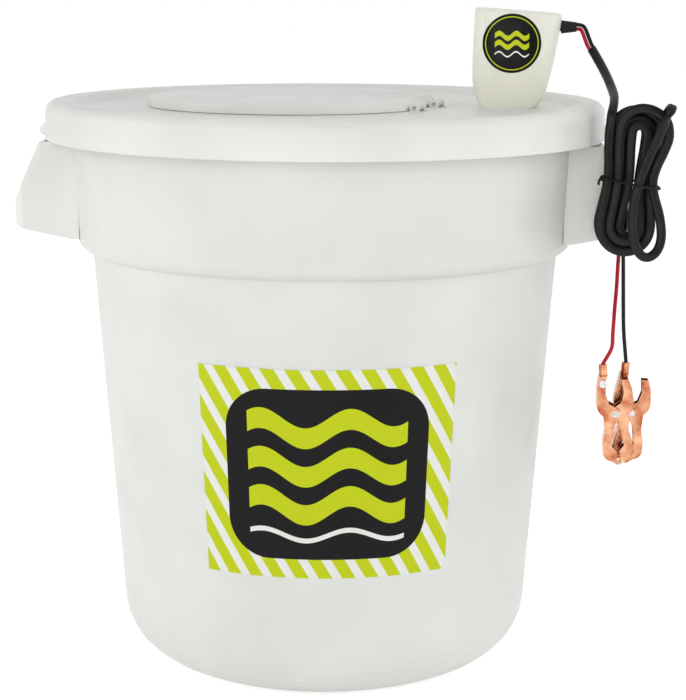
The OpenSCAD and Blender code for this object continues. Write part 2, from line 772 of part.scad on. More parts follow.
module battery_lead_black() {
    color(jacket) battery_lead(1, black_pivot, black_lean,
        [[221, -67.2, 312], [221.5, -67.6, 296], [222, -68.2, 280], [222.6, -69, 265], [223.6, -69.5, 254]]);
}

module at_clip(pivot, lean) {
    translate(pivot) rotate([0, lean, 0]) children();
}

// Side view of a clip half: a bowed handle above the pivot and a hooked jaw below it.
module clip_side(handle_top) {
    tooth = 1.4;
    pitch = 2.2;
    polygon(concat([[-10.5, handle_top], [-12.6, 18]], arc([-3.5, 7], 10, 176, 236, 5),
        [[-8.6, -13], [-10.8, -21]], arc([-4.6, -28.5], 6.4, 168, 262, 6), [[-0.3, -38.6]],
        [for (i = [0:3]) each [[-0.3, -37.4 + i * pitch], [-0.3 - tooth, -36.2 + i * pitch]]],
        [[-0.5, -28.6], [-4.5, -24], [-2.8, -13]], arc([0, 0], 4, -80, 60, 6),
        [[-4.4, 7.5], [-6.6, 15], [-5.4, handle_top]]));
}

// A folded clip half: two cheeks joined along the outer edge, open inwards.
module clip_half(depth, handle_top, bore) {
    rotate([90, 0, 0]) difference() {
        translate([0, 0, -depth / 2]) linear_extrude(depth) clip_side(handle_top);
        translate([clip_plate, 0, clip_plate - depth / 2]) linear_extrude(depth - 2 * clip_plate)
            clip_side(handle_top + 5);
        translate([-4, -4.5, clip_plate - depth / 2]) cube([9, 9, depth - 2 * clip_plate]);
        translate([0, 0, -depth]) cylinder(h = 2 * depth, r = bore, $fn = 32);
    }
}

rivet_r = 1.5;
screw_at = [-8, 23];

// The half that carries the wire: its crimp barrel and its screw hole.
module clip_base() {
    inner_depth = clip_depth - 2 * clip_plate;
    color(copper) union() {
        difference() {
            clip_half(clip_depth, 28, rivet_r);
            translate([screw_at[0], 0, screw_at[1]]) rotate([90, 0, 0])
                cylinder(h = 2 * clip_depth, r = 1.4, center = true, $fn = 24);
        }
        translate([crimp[0], 0, crimp[2] - 5]) difference() {
            cylinder(h = 9, r = 3, $fn = 32);
            translate([0, 0, 5]) cylinder(h = 9, r = lead_d / 2, $fn = 24);
        }
        translate([-10.6, -inner_depth / 2, 26]) cube([6, inner_depth, 2]);
    }
}

module clip_jaw() {
    side_gap = 0.35;
    color(copper) mirror([1, 0, 0])
        clip_half(clip_depth - 2 * clip_plate - 2 * side_gap, 24.5, rivet_r + running);
}

module clip_rivet() {
    head_r = 2.6;
    head_h = 0.9;
    color(steel) rotate([90, 0, 0]) {
        cylinder(h = clip_depth, r = rivet_r, center = true, $fn = 32);
        for (s = sides) translate([0, 0, s * (clip_depth + head_h) / 2])
            cylinder(h = head_h, r = head_r, center = true, $fn = 32);
    }
}

// Torsion spring round the rivet, with a leg up each handle.
module clip_spring() {
    wire_r = 0.5;
    coil_r = 2.9;
    curls = 3.5;
    step = 1.5;
    low = -curls * step / 2;
    helix = [for (i = [0:8 * curls]) let (a = 180 + 45 * i)
        [coil_r * cos(a), low + step * i / 8, coil_r * sin(a)]];
    leg_a = [[-11, low, 15], [-7.5, low, 10], [-4, low, 4.5]];
    leg_b = [[4, -low, 4.5], [7.5, -low, 10], [11, -low, 15]];
    color(steel) tube(concat(leg_a, helix, leg_b), wire_r, 6);
}

module clip_screw() {
    head_h = 1.6;
    color(steel) translate([screw_at[0], 0, screw_at[1]]) rotate([90, 0, 0]) {
        cylinder(h = clip_depth, r = 1.4, center = true, $fn = 24);
        translate([0, 0, (clip_depth + head_h) / 2]) difference() {
            cylinder(h = head_h, r = 2.8, center = true, $fn = 32);
            translate([-4, -0.4, 0.2]) cube([8, 0.8, 2]);
        }
    }
}

module red_clip_base() { at_clip(red_pivot, red_lean) clip_base(); }
module red_clip_jaw() { at_clip(red_pivot, red_lean) clip_jaw(); }
module red_clip_rivet() { at_clip(red_pivot, red_lean) clip_rivet(); }
module red_clip_spring() { at_clip(red_pivot, red_lean) clip_spring(); }
module red_clip_screw() { at_clip(red_pivot, red_lean) clip_screw(); }
module black_clip_base() { at_clip(black_pivot, black_lean) clip_base(); }
module black_clip_jaw() { at_clip(black_pivot, black_lean) clip_jaw(); }
module black_clip_rivet() { at_clip(black_pivot, black_lean) clip_rivet(); }
module black_clip_spring() { at_clip(black_pivot, black_lean) clip_spring(); }
module black_clip_screw() { at_clip(black_pivot, black_lean) clip_screw(); }

bucket();
lid();
access_door();
door_hinge_pins();
front_label();
pump_housing();
pump_cap();
pump_label();
cap_screws();
motor_can();
motor_end_bell();
motor_shaft();
shaft_coupling();
drive_shaft();
impeller();
drop_tube();
tube_locknut();
lid_gasket();
shaft_seal();
lower_bearing();
pump_volute();
intake_strainer();
strain_relief();
motor_lead_red();
motor_lead_black();
cord_drop();
cord_hank();
hank_tie();
battery_lead_red();
battery_lead_black();
red_clip_base();
red_clip_jaw();
red_clip_rivet();
red_clip_spring();
red_clip_screw();
black_clip_base();
black_clip_jaw();
black_clip_rivet();
black_clip_spring();
black_clip_screw();
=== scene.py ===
# %% [markdown]
# # An aerated bait bucket
# A lidded bucket of translucent white plastic keeps live bait fresh. A small pump stands on its lid,
# and a long flat cord, wound into a hank, hangs beside it with two copper clips for a battery.
# The rigid pieces come from the CAD model and stay where they are. This lesson gives them their
# plastics, rubbers and metals, and builds the pieces that CAD only blocks in: the cord, its leads
# and the tie round the hank.

# %% Load the frame
import json
import math

import bpy
from mathutils import Matrix, Vector


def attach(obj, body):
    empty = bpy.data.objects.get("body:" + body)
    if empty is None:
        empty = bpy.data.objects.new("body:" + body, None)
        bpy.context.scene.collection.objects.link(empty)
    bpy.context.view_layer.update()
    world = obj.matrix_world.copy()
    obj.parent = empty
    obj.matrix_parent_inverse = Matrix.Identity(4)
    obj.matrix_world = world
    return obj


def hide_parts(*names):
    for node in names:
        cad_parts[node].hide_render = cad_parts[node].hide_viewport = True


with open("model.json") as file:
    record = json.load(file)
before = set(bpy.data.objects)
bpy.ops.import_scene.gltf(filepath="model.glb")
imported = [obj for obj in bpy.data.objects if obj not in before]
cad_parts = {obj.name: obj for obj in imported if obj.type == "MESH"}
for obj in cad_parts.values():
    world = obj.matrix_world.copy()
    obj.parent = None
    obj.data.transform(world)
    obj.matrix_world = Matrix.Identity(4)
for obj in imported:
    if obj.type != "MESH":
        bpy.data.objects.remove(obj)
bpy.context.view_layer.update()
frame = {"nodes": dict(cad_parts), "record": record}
mm = 0.001

# %% [markdown]
# ## Camera
# The picture was taken from a little above the lid with a long lens, so the lid shows as a thin
# ellipse and the sides stay nearly upright. The camera's place, aim and focal length were fitted
# to the lid's ellipse, the foot of the bucket and the corners of the label. The aim is built from
# yaw, pitch and roll, because those three numbers are easy to nudge one at a time.

# %% Camera
camera_place = Vector((0.1008, -1.4361, 0.5201))
yaw, pitch, roll = -0.0604, 0.1975, 0.0037
focal_length = 97.61

ahead = Vector((math.sin(yaw) * math.cos(pitch), math.cos(yaw) * math.cos(pitch), -math.sin(pitch)))
side = ahead.cross(Vector((0, 0, 1))).normalized()
over = side.cross(ahead)
right = math.cos(roll) * side + math.sin(roll) * over
up = math.cos(roll) * over - math.sin(roll) * side

camera = bpy.data.objects.new("camera", bpy.data.cameras.new("camera"))
camera.data.lens = focal_length
camera.data.sensor_width = 36
camera.data.clip_start = 0.05
bpy.context.scene.collection.objects.link(camera)
turn = Matrix((right, up, -ahead)).transposed()
camera.matrix_world = Matrix.Translation(camera_place) @ turn.to_4x4()
bpy.context.scene.camera = camera
print("camera", [round(v, 3) for v in camera_place], "lens", focal_length, "mm")

# %% [markdown]
# ## The cord's route
# The flat twin cord leaves the pump, drops over the lid's edge and is wound into a hank: loops in
# a long oval, drawn in at the waist by an elastic tie, in three layers, with one loose strand
# across the front. The route is worked out in the hank's own plane, where w runs across it, l
# along it and y towards the back, and is then leaned and moved to its place, in millimetres.
# Each loop has 24 points, so the turns stay round. In a fold, a quarter of a loop, the cord moves
# sideways or climbs to the next layer, one after the other, so that it never cuts its own turns.

# %% Route of the winding
hank_centre = Vector((223.3, -86.8, 374.8))
hank_lean = math.radians(5)
turn_step, layer_step, middle_shift = 7, 6.6, 1.8
arc_l, top_r, bottom_r, waist_w = 33, 5.5, 6.5, 3.6
points_a_loop, fold = 24, 0.25


def in_hank(w, l, y):
    """A point of the hank's own plane, in the object's frame."""
    lean, rise = math.cos(hank_lean), math.sin(hank_lean)
    return hank_centre + Vector((w * lean + l * rise, y, l * lean - w * rise))


def mix(a, b, t):
    """The value a share t of the way from a to b."""
    return a + (b - a) * t


def ease(t):
    """A soft start and stop between 0 and 1."""
    t = min(1, max(0, t))
    return t * t * (3 - 2 * t)


def spiral(u):
    """How many turns out from the middle the winding is after u loops."""
    if u < 2 + fold:
        return max(0, 2 - u)
    if u < 4:
        return u - 2 - fold
    return 2 - fold if u < 4 + fold else 6 - u


def wound(u):
    """A point of the winding: down on the left, round, up on the right and round."""
    turns_out, quarter = spiral(u), 4 * (u - math.floor(u))
    shift = middle_shift * (ease((u - 2 + fold) / fold) - ease((u - 4 + fold) / fold))
    y = layer_step * (ease((u - 2) / fold) + ease((u - 4) / fold))
    q = quarter - math.floor(quarter)
    angle = math.pi * q

    def run(l):
        draw = 0.5 + 0.5 * math.cos(math.pi * l / arc_l)
        wide = mix(bottom_r, top_r, (l + arc_l) / (2 * arc_l))
        return mix(wide, waist_w, draw) + turn_step * turns_out

    if quarter < 1:
        return (shift - run(arc_l * (1 - 2 * q)), arc_l * (1 - 2 * q), y)
    if quarter < 2:
        r = bottom_r + turn_step * turns_out
        return (shift - r * math.cos(angle), -arc_l - r * math.sin(angle), y)
    if quarter < 3:
        return (shift + run(arc_l * (2 * q - 1)), arc_l * (2 * q - 1), y)
    r = top_r + turn_step * turns_out
    return (shift + r * math.cos(angle), arc_l + r * math.sin(angle), y)


# %% [markdown]
# ## Loose strand and smooth curves
# One strand folds over the top right, runs down across the front and comes up again at the right
# before the winding goes on. Its points were placed one by one. A Catmull-Rom curve passes through
# every chosen point, so it is the easy way to turn a few of them into a smooth run.

# %% Whole route of the cord
front_strand = [(15, 37, 0), (17.5, 46, -0.5), (20, 52.5, -2.6), (21, 54.5, -7), (19.8, 51.5, -11.6),
                (17, 44, -13.8), (13, 32, -14), (8, 18, -13.8), (4.5, 4, -13.6), (2, -12, -13.6),
                (2.5, -28, -13.6), (5.5, -41, -13.2), (11, -50, -12), (17.5, -51.5, -10.5),
                (23, -46, -9), (24.5, -36, -8), (21.5, -22, -7), (16, -8, -7), (14, 2, -7),
                (15.5, 12, -7), (19.5, 24, -7), (21.5, 34, -7), (18.5, 44.5, -7.2), (10, 50.5, -6.4),
                (0, 51.5, -4.5), (-8, 47, -2.5), (-12, 40, -0.8)]
hank_end = [(-5.3, 24, 13.8), (-5, 14, 16), (-4.6, 4, 18.4), (-3.6, -6, 19.8), (-2.2, -18, 20),
            (-0.8, -30, 20), (0, -41, 20), (0, -48, 20)]
drop = [(198, -8, 463.5), (200.5, -13, 459), (204.5, -24, 451.5), (208, -39, 443.5), (210, -54, 437),
        (210.6, -68, 432.5), (209.6, -79.5, 428)]


def smooth(points, steps):
    """A Catmull-Rom curve through the points, with steps stretches between each two."""
    ends = [2 * points[0] - points[1]] + points + [2 * points[-1] - points[-2]]
    out = []
    for a, b, c, d in zip(ends, ends[1:], ends[2:], ends[3:]):
        for k in range(steps):
            t = k / steps
            out.append(0.5 * (2 * b + (c - a) * t + (2 * a - 5 * b + 4 * c - d) * t ** 2
                              + (3 * b - a - 3 * c + d) * t ** 3))
    return out + [points[-1]]


def length_of(points):
    """Length of a route."""
    return sum((b - a).length for a, b in zip(points, points[1:]))


def evenly(points, spacing):
    """The same route with points an even distance apart."""
    total = length_of(points)
    count = max(2, round(total / spacing))
    out, i, passed = [points[0]], 0, 0.0
    for k in range(1, count):
        want = total * k / count
        while passed + (points[i + 1] - points[i]).length < want:
            passed += (points[i + 1] - points[i]).length
            i += 1
        gap = (points[i + 1] - points[i]).length
        out.append(points[i].lerp(points[i + 1], (want - passed) / gap))
    return out + [points[-1]]


lead_in = [(-19.5, 45, 0), (-19.5, 39, 0)]
strand_leaves_at, strand_is_back_at, last_point = 18, points_a_loop, 6 * points_a_loop
ring_step = 1.5
winding = lead_in + [wound(i / points_a_loop) for i in range(strand_leaves_at)] + front_strand
winding += [wound(i / points_a_loop) for i in range(strand_is_back_at, last_point + 1)] + hank_end
cord_points = [Vector(p) for p in drop] + [in_hank(*p) for p in winding]
cord_route = evenly(smooth(cord_points, 4), ring_step)
print("flat cord:", len(cord_route), "points,", round(length_of(cord_route) / 1000, 3), "m")

# %% [markdown]
# ## Sweeping a section along a route
# Blender can sweep a curve's bevel, but a flat cord must also lie with its flat side to the
# front, so its rings are placed here one by one. Each ring carries the last one's direction on and
# is drawn gently back to a preferred one, which stops it from flipping at tight bends. The first
# UV runs along the cord and the second round it, both in metres, so the finish can follow it.

# %% Sweep
uv_round = 0.02


def sweep(name, route, section, flat_to, pull=0.3, closed=False):
    """A tube with that section along the route, its flat side kept towards flat_to."""
    count, n = len(route), len(section)
    headings = []
    for i in range(count):
        before = route[i - 1] if i or closed else route[0]
        after = route[(i + 1) % count] if i < count - 1 or closed else route[-1]
        headings.append((after - before).normalized())
    across = headings[0].cross(flat_to(0)).normalized()
    points = []
    for i, heading in enumerate(headings):
        across = (across - heading * across.dot(heading)).normalized()
        liked = heading.cross(flat_to(i))
        across = (across.lerp(liked, pull * liked.length)).normalized()
        across = (across - heading * across.dot(heading)).normalized()
        out = heading.cross(across)
        points += [(route[i] + across * a + out * b) * mm for a, b in section]
    faces = []
    for j in range(count if closed else count - 1):
        k = (j + 1) % count
        faces += [(j * n + i, j * n + (i + 1) % n, k * n + (i + 1) % n, k * n + i) for i in range(n)]
    if not closed:
        faces += [tuple(range(n - 1, -1, -1)), tuple(range((count - 1) * n, count * n))]
    mesh = bpy.data.meshes.new(name)
    mesh.from_pydata(points, [], faces)
    layer = mesh.uv_layers.new(name="along")
    passed = [0.0]
    for a, b in zip(route, route[1:] + route[:1]):
        passed.append(passed[-1] + (b - a).length * mm)
    for face in mesh.polygons:
        for corner in face.loop_indices:
            ring, i = divmod(mesh.loops[corner].vertex_index, n)
            if closed and ring == 0 and face.index >= (count - 1) * n:
                ring = count
            layer.data[corner].uv = (passed[ring], i / n * uv_round)
    piece = bpy.data.objects.new(name, mesh)
    bpy.context.scene.collection.objects.link(piece)
    for face in mesh.polygons:
        face.use_smooth = len(face.vertices) == 4
    return piece


def round_section(radius, n=12):
    """A round section."""
    return [(radius * math.cos(2 * math.pi * k / n), radius * math.sin(2 * math.pi * k / n))
            for k in range(n)]


cord_width, cord_thickness, squareness = 6.7, 4.3, 2.7
groove, groove_reach = 0.16, 0.7


def twin_section(n=20):
    """Section of the flat cord: a rounded bar with a shallow groove down each side."""
    out = []
    for k in range(n):
        c, s = math.cos(2 * math.pi * k / n), math.sin(2 * math.pi * k / n)
        q = (abs(c) ** squareness + abs(s) ** squareness) ** (-1 / squareness)
        a, b = cord_width / 2 * q * c, cord_thickness / 2 * q * s
        b -= math.copysign(groove * math.exp(-(a / groove_reach) ** 2), b)
        out.append((a, b))
    return out


def cord_facing(i):
    """Side that the flat of the cord is turned to, a little different along each strand."""
    along = i * ring_step
    rock = 0.22 * math.sin(along / 31 + 0.6) + 0.1 * math.sin(along / 11.3)
    return Vector((math.sin(rock), math.cos(rock), 0.12 * math.sin(along / 47)))


flat_cord = sweep("flat_cord", cord_route, twin_section(), cord_facing)
print("flat_cord:", len(flat_cord.data.polygons), "faces")

# %% [markdown]
# ## Single leads
# At the pump the cord's two wires come out of the jacket for a finger's width, and at its far end
# they part for good: the red and the black lead each hang into the crimp of their own clip.

# %% Leads
lead_r, lead_offset, lead_spread = 1.4, 1.55, 1.45
crimp_across, crimp_top, crimp_foot = -7, 36, 32
relief_end = Vector((186.7, 0, 479.4))
jacket_start = cord_points[0]
first_way = (cord_points[1] - cord_points[0]).normalized()
between = evenly(smooth([relief_end - Vector((1.5, 0, 0)), relief_end + Vector((2, 0, 0)),
                         relief_end + Vector((5, -1.5, -1.8)),
                         jacket_start - 5 * first_way + Vector((-0.4, 0.4, 0.8)),
                         jacket_start - 2 * first_way, jacket_start + first_way], 8), 0.8)


def motor_lead(name, which):
    """A short lead from the strain relief to the jacket, beside the route between the two."""
    route = []
    for i, p in enumerate(between):
        heading = between[min(i + 1, len(between) - 1)] - between[max(i - 1, 0)]
        route.append(p + which * lead_offset * heading.cross(Vector((0, 1, 0))).normalized())
    return sweep(name, route, round_section(lead_r), lambda i: Vector((0, 1, 0)))


hank_last = cord_points[-1]


def leaned(pivot, lean, across, rise):
    """A point of a clip, given across and up from its pivot."""
    c, s = math.cos(math.radians(lean)), math.sin(math.radians(lean))
    return Vector(pivot) + Vector((across * c + rise * s, 0, rise * c - across * s))


def battery_lead(name, which, way, pivot, lean):
    """A lead from the end of the hank down into a clip's crimp."""
    start = hank_last + Vector((which * lead_spread, 0, 0))
    route = [start + Vector((0, 0, 1)), start - Vector((0, 0, 3))] + [Vector(p) for p in way]
    route += [leaned(pivot, lean, crimp_across, rise) for rise in (crimp_top, crimp_foot)]
    even = evenly(smooth(route, 8), 1.2)
    piece = sweep(name, even, round_section(lead_r), lambda i: Vector((0, 1, 0)))
    return piece, even


red_motor_lead = motor_lead("red_motor_lead", -1)
black_motor_lead = motor_lead("black_motor_lead", 1)
red_lead, red_lead_path = battery_lead(
    "red_lead", -1,
    [(217, -69, 312), (216, -75, 296), (214.5, -82, 280), (213.5, -86.5, 265), (212.8, -87.5, 254)],
    pivot=(217, -87.5, 207), lean=-5)
black_lead, black_lead_path = battery_lead(
    "black_lead", 1,
    [(221, -67.2, 312), (221.5, -67.6, 296), (222, -68.2, 280), (222.6, -69, 265), (223.6, -69.5, 254)],
    pivot=(229.5, -69.5, 204), lean=4)
print("leads:", round(length_of(red_lead_path)), "and", round(length_of(black_lead_path)), "mm")

# %% [markdown]
# ## Tie round the hank
# A black elastic cord is pulled tight round the waist and knotted at the left. A stretched ring
# touches only what stands out, so its path is the convex outline of the strands where they pass
# through its plane. That outline is found from the flat cord's own mesh, so the tie sits on the
# strands however they are changed later.

# %% Tie
tie_r, tie_clearance, slice_half = 0.95, 0.25, 1.6
tie_middle, tie_slope = -1.5, -0.08
knot_r, knot_size, knot_depth, knot_out = 0.72, 0.62, 0.8, 0.7


def to_hank(point):
    """A point of the object's frame, in the hank's own plane."""
    d = Vector(point) / mm - hank_centre
    lean, rise = math.cos(hank_lean), math.sin(hank_lean)
    return d.x * lean - d.z * rise, d.x * rise + d.z * lean, d.y


def tie_height(w):
    """The tie slopes down a little to the right."""
    return tie_middle + tie_slope * w


def outline(points):
    """Convex outline of flat points, in order."""
    points, chains = sorted(points), []
    for run in (points, points[::-1]):
        chain = []
        for p in run:
            while len(chain) > 1:
                (ax, ay), (bx, by) = chain[-2], chain[-1]
                if (bx - ax) * (p[1] - ay) - (by - ay) * (p[0] - ax) > 0:
                    break
                chain.pop()
            chain.append(p)
        chains += chain[:-1]
    return chains


near = []
for vertex in flat_cord.data.vertices:
    w, l, y = to_hank(vertex.co)
    if abs(l - tie_height(w)) < slice_half:
        near.append((w, y))
ring = [Vector((w, y, 0)) for w, y in outline(near)]
ring = evenly(ring + ring[:1], 1.4)[:-1]
middle = sum(ring, Vector()) / len(ring)
for _ in range(2):
    ring = [(a + 2 * b + c) / 4 for a, b, c in zip(ring[-1:] + ring[:-1], ring, ring[1:] + ring[:1])]
ring = [p + (p - middle).normalized() * (tie_r + tie_clearance) for p in ring]
tie_route = [in_hank(p.x, tie_height(p.x), p.y) for p in ring]
tie = sweep("hank_tie_band", tie_route, round_section(tie_r, 10), lambda i: Vector((0, 0, 1)), closed=True)

knot_at = min(tie_route, key=lambda p: p.x + 0.4 * p.y)
trefoil = []
for k in range(72):
    t = 2 * math.pi * k / 72
    trefoil.append(knot_at + Vector((-knot_depth * math.cos(3 * t) - knot_out,
                                     (math.sin(t) + 2 * math.sin(2 * t)) * knot_size,
                                     (math.cos(t) - 2 * math.cos(2 * t)) * knot_size)))
knot = sweep("hank_tie_knot", trefoil, round_section(knot_r, 8), lambda i: Vector((1, 0, 0)), closed=True)
knot_tails = []
for which in (-1, 1):
    tail = [knot_at + Vector((-1.2, which * 0.6, 0)), knot_at + Vector((-2.2, which * 1.4, -1.2)),
            knot_at + Vector((-2.8, which * 1.9, -2.8)), knot_at + Vector((-2.9, which * 2.6, -4.6))]
    knot_tails.append(sweep("hank_tie_tail", evenly(smooth(tail, 6), 0.5), round_section(knot_r, 8),
                            lambda i: Vector((1, 0, 0))))
print("tie:", round(length_of(tie_route + tie_route[:1])), "mm round")

# %% [markdown]
# ## Colours and nodes
# Colours are written as the hex values that a paint program shows. Blender's shaders work in
# linear light, so one function turns them. One more function adds a node, sets it and links it,
# which keeps each material below down to its own few decisions.

# %% Helpers for materials
def colour(code):
    """Linear colour of an sRGB hex value."""
    values = [int(code[i:i + 2], 16) / 255 for i in (1, 3, 5)]
    return [v / 12.92 if v <= 0.04045 else ((v + 0.055) / 1.055) ** 2.4 for v in values] + [1]


def put(material, kind, inputs=(), **settings):
    """Adds a node with its settings, and a value or a link for each named or numbered input."""
    node = material.node_tree.nodes.new(kind)
    for name, value in settings.items():
        setattr(node, name, value)
    for socket, value in dict(inputs).items():
        if isinstance(value, bpy.types.NodeSocket):
            material.node_tree.links.new(value, node.inputs[socket])
        else:
            node.inputs[socket].default_value = value
    return node


def start(name, **constants):
    """A new material, its shader with constant values, and its object coordinates."""
    material = bpy.data.materials.new(name)
    material.use_nodes = True
    shader = material.node_tree.nodes["Principled BSDF"]
    for socket, value in constants.items():
        shader.inputs[socket.replace("_", " ")].default_value = value
    place = put(material, "ShaderNodeTexCoord")
    return material, shader, place.outputs["Object"]


def feed(material, shader, **sources):
    """Links outputs to the shader's inputs."""
    for socket, source in sources.items():
        material.node_tree.links.new(source, shader.inputs[socket.replace("_", " ")])


def blotches(material, place, size, low, high, detail=2.0):
    """Soft noise of that feature size in metres, spread over a range."""
    noise = put(material, "ShaderNodeTexNoise", {"Vector": place, "Scale": 1 / size, "Detail": detail})
    return put(material, "ShaderNodeMapRange", {"Value": noise.outputs["Fac"], "From Min": 0.32,
                                               "From Max": 0.68, "To Min": low, "To Max": high}).outputs[0]


def tint(material, share, first, second):
    """A colour between two hex values."""
    node = put(material, "ShaderNodeMix", {"Factor": share, 6: colour(first), 7: colour(second)},
               data_type="RGBA")
    return node.outputs[2]


def relief(material, height, depth, strength=1.0):
    """A bump of that depth in metres."""
    node = put(material, "ShaderNodeBump", {"Height": height, "Distance": depth, "Strength": strength})
    return node.outputs["Normal"]


# %% [markdown]
# ## Bucket, lid and door
# They are moulded from natural polyethylene: a milky white that lets a little light through, with
# a waxy surface. Real mouldings are never quite even, so broad blotches shift the tone a little,
# a fine orange peel breaks the reflections up, and the gloss wanders where hands have rubbed it.
# A little scatter under the skin softens the shading, as light does in the real wall.

# %% Natural polyethylene
natural, shader, place = start("natural polyethylene, moulded", IOR=1.5, Subsurface_Weight=0.25,
                               Subsurface_Scale=0.012)
shader.inputs["Subsurface Radius"].default_value = (1.0, 0.95, 0.85)
tone = tint(natural, blotches(natural, place, 0.09, 0, 1), "#E6E8E2", "#EFF1EB")
peel = blotches(natural, place, 0.0022, 0, 1)
feed(natural, shader, Base_Color=tone, Roughness=blotches(natural, place, 0.03, 0.34, 0.46),
     Normal=relief(natural, peel, 0.00012, 0.35))
print(natural.name)

# %% [markdown]
# ## Pump housing
# The pump's case is an ivory styrene plastic, smoother and warmer than the bucket. Its mould was
# lightly textured, which shows as a soft satin, and the ivory has yellowed a touch here and there.

# %% Ivory styrene
ivory, shader, place = start("ivory styrene, satin moulded", IOR=1.53, Subsurface_Weight=0.1,
                             Subsurface_Scale=0.004)
tone = tint(ivory, blotches(ivory, place, 0.03, 0, 1), "#E9E9DB", "#F0EFE3")
feed(ivory, shader, Base_Color=tone, Roughness=blotches(ivory, place, 0.008, 0.3, 0.4),
     Normal=relief(ivory, blotches(ivory, place, 0.0011, 0, 1), 0.00005, 0.4))
print(ivory.name)

# %% [markdown]
# ## Dark plastics and rubbers
# The pump's wet end, its nut and its coupling are a black glass-filled nylon with a dull grain.
# The strain relief is black rubber, and the seals are a softer, greyer one. Most of them are out of
# sight, and finished all the same. On black rubber, and later on the black jackets and the films,
# the specular level is turned down, because the white paper all round would grey them too much.

# %% Nylon and rubber
nylon, shader, place = start("black nylon, glass filled", IOR=1.53)
tone = tint(nylon, blotches(nylon, place, 0.006, 0, 1), "#202123", "#2D2E30")
feed(nylon, shader, Base_Color=tone, Roughness=blotches(nylon, place, 0.004, 0.42, 0.58),
     Normal=relief(nylon, blotches(nylon, place, 0.0009, 0, 1, 4), 0.00006, 0.5))
rubber, shader, place = start("black rubber, moulded", IOR=1.5, Specular_IOR_Level=0.3)
tone = tint(rubber, blotches(rubber, place, 0.01, 0, 1), "#151515", "#212120")
feed(rubber, shader, Base_Color=tone, Roughness=blotches(rubber, place, 0.005, 0.6, 0.8),
     Normal=relief(rubber, blotches(rubber, place, 0.0012, 0, 1, 3), 0.00006, 0.5))
seal_rubber, shader, place = start("grey nitrile rubber, pressed", IOR=1.5)
tone = tint(seal_rubber, blotches(seal_rubber, place, 0.01, 0, 1), "#35373A", "#45474A")
feed(seal_rubber, shader, Base_Color=tone, Roughness=blotches(seal_rubber, place, 0.005, 0.6, 0.75),
     Normal=relief(seal_rubber, blotches(seal_rubber, place, 0.001, 0, 1, 3), 0.00005, 0.5))
print(nylon.name, "|", rubber.name, "|", seal_rubber.name)

# %% [markdown]
# ## Steel and copper
# Screws, pins and shafts are bright zinc-plated steel with fine turning marks. The clips are
# stamped from steel and copper plated: bright pink metal where it was burnished, deeper and redder
# in blotches where it has begun to tarnish. A metal's colour is its base colour, and nearly all
# that it shows is what it reflects, so the wandering roughness matters more than the tint.

# %% Metals
steel, shader, place = start("zinc plated steel, turned", Metallic=1.0)
tone = tint(steel, blotches(steel, place, 0.004, 0, 1), "#B9BBBD", "#D6D7D8")
feed(steel, shader, Base_Color=tone, Roughness=blotches(steel, place, 0.002, 0.2, 0.36),
     Normal=relief(steel, blotches(steel, place, 0.0006, 0, 1, 4), 0.00003, 0.4))
copper, shader, place = start("copper plated steel, stamped", Metallic=1.0)
tarnish = blotches(copper, place, 0.011, 0, 1, 3)
tone = tint(copper, tarnish, "#E6B08B", "#A85530")
dents = blotches(copper, place, 0.0035, 0, 1, 3)
feed(copper, shader, Base_Color=tone, Roughness=blotches(copper, place, 0.004, 0.14, 0.3),
     Normal=relief(copper, dents, 0.00014, 0.5))
print(steel.name, "|", copper.name)

# %% [markdown]
# ## Cord jackets
# The cord and leads are extruded PVC. Extrusion leaves faint streaks along the cord, so the noise
# is read from the swept UVs and stretched: long along the cord, short round it. The tie's elastic
# cord gets the same streaks, only duller.

# %% PVC and elastic
def extruded(name, dark, light, low, high):
    """A jacket with faint streaks along it."""
    material, shader, place = start(name, IOR=1.53, Specular_IOR_Level=0.22)
    along = put(material, "ShaderNodeUVMap", uv_map="along").outputs["UV"]
    stretched = put(material, "ShaderNodeMapping", {"Vector": along, "Scale": (0.02, 1, 1)}).outputs[0]
    streak = blotches(material, stretched, 0.0012, 0, 1, 3)
    feed(material, shader, Base_Color=tint(material, blotches(material, place, 0.012, 0, 1), dark, light),
         Roughness=blotches(material, place, 0.006, low, high),
         Normal=relief(material, streak, 0.00008, 0.35))
    return material


black_pvc = extruded("black PVC, extruded", "#0E0E0D", "#171614", 0.36, 0.5)
red_pvc = extruded("red PVC, extruded", "#A30E22", "#BC1A30", 0.32, 0.44)
tie_rubber = extruded("black elastic cord", "#101010", "#1A1918", 0.6, 0.75)
print(black_pvc.name, "|", red_pvc.name, "|", tie_rubber.name)

# %% [markdown]
# ## Printed film
# The front label is a glossy vinyl print in black, chartreuse and white. Its design here is a
# plain one: slanting stripes, and a rounded black panel with three waves and a thin wavy line. The
# pattern is worked out from the angle round the bucket and the height, so it wraps as a real label
# does. Each shape is a mask of 0 and 1 made by comparing distances.

# %% Label design
def math_node(material, operation, *values):
    """The result of one sum on numbers or outputs."""
    return put(material, "ShaderNodeMath", enumerate(values), operation=operation).outputs[0]


def wave_band(material, u, v, middle, swing, pitch, half):
    """Mask of a band that waves across u about a height."""
    turn = math_node(material, "SINE", math_node(material, "MULTIPLY", u, 2 * math.pi / pitch))
    shifted = math_node(material, "SUBTRACT", v, math_node(material, "MULTIPLY", turn, swing))
    away = math_node(material, "ABSOLUTE", math_node(material, "SUBTRACT", shifted, middle))
    return math_node(material, "LESS_THAN", away, half)


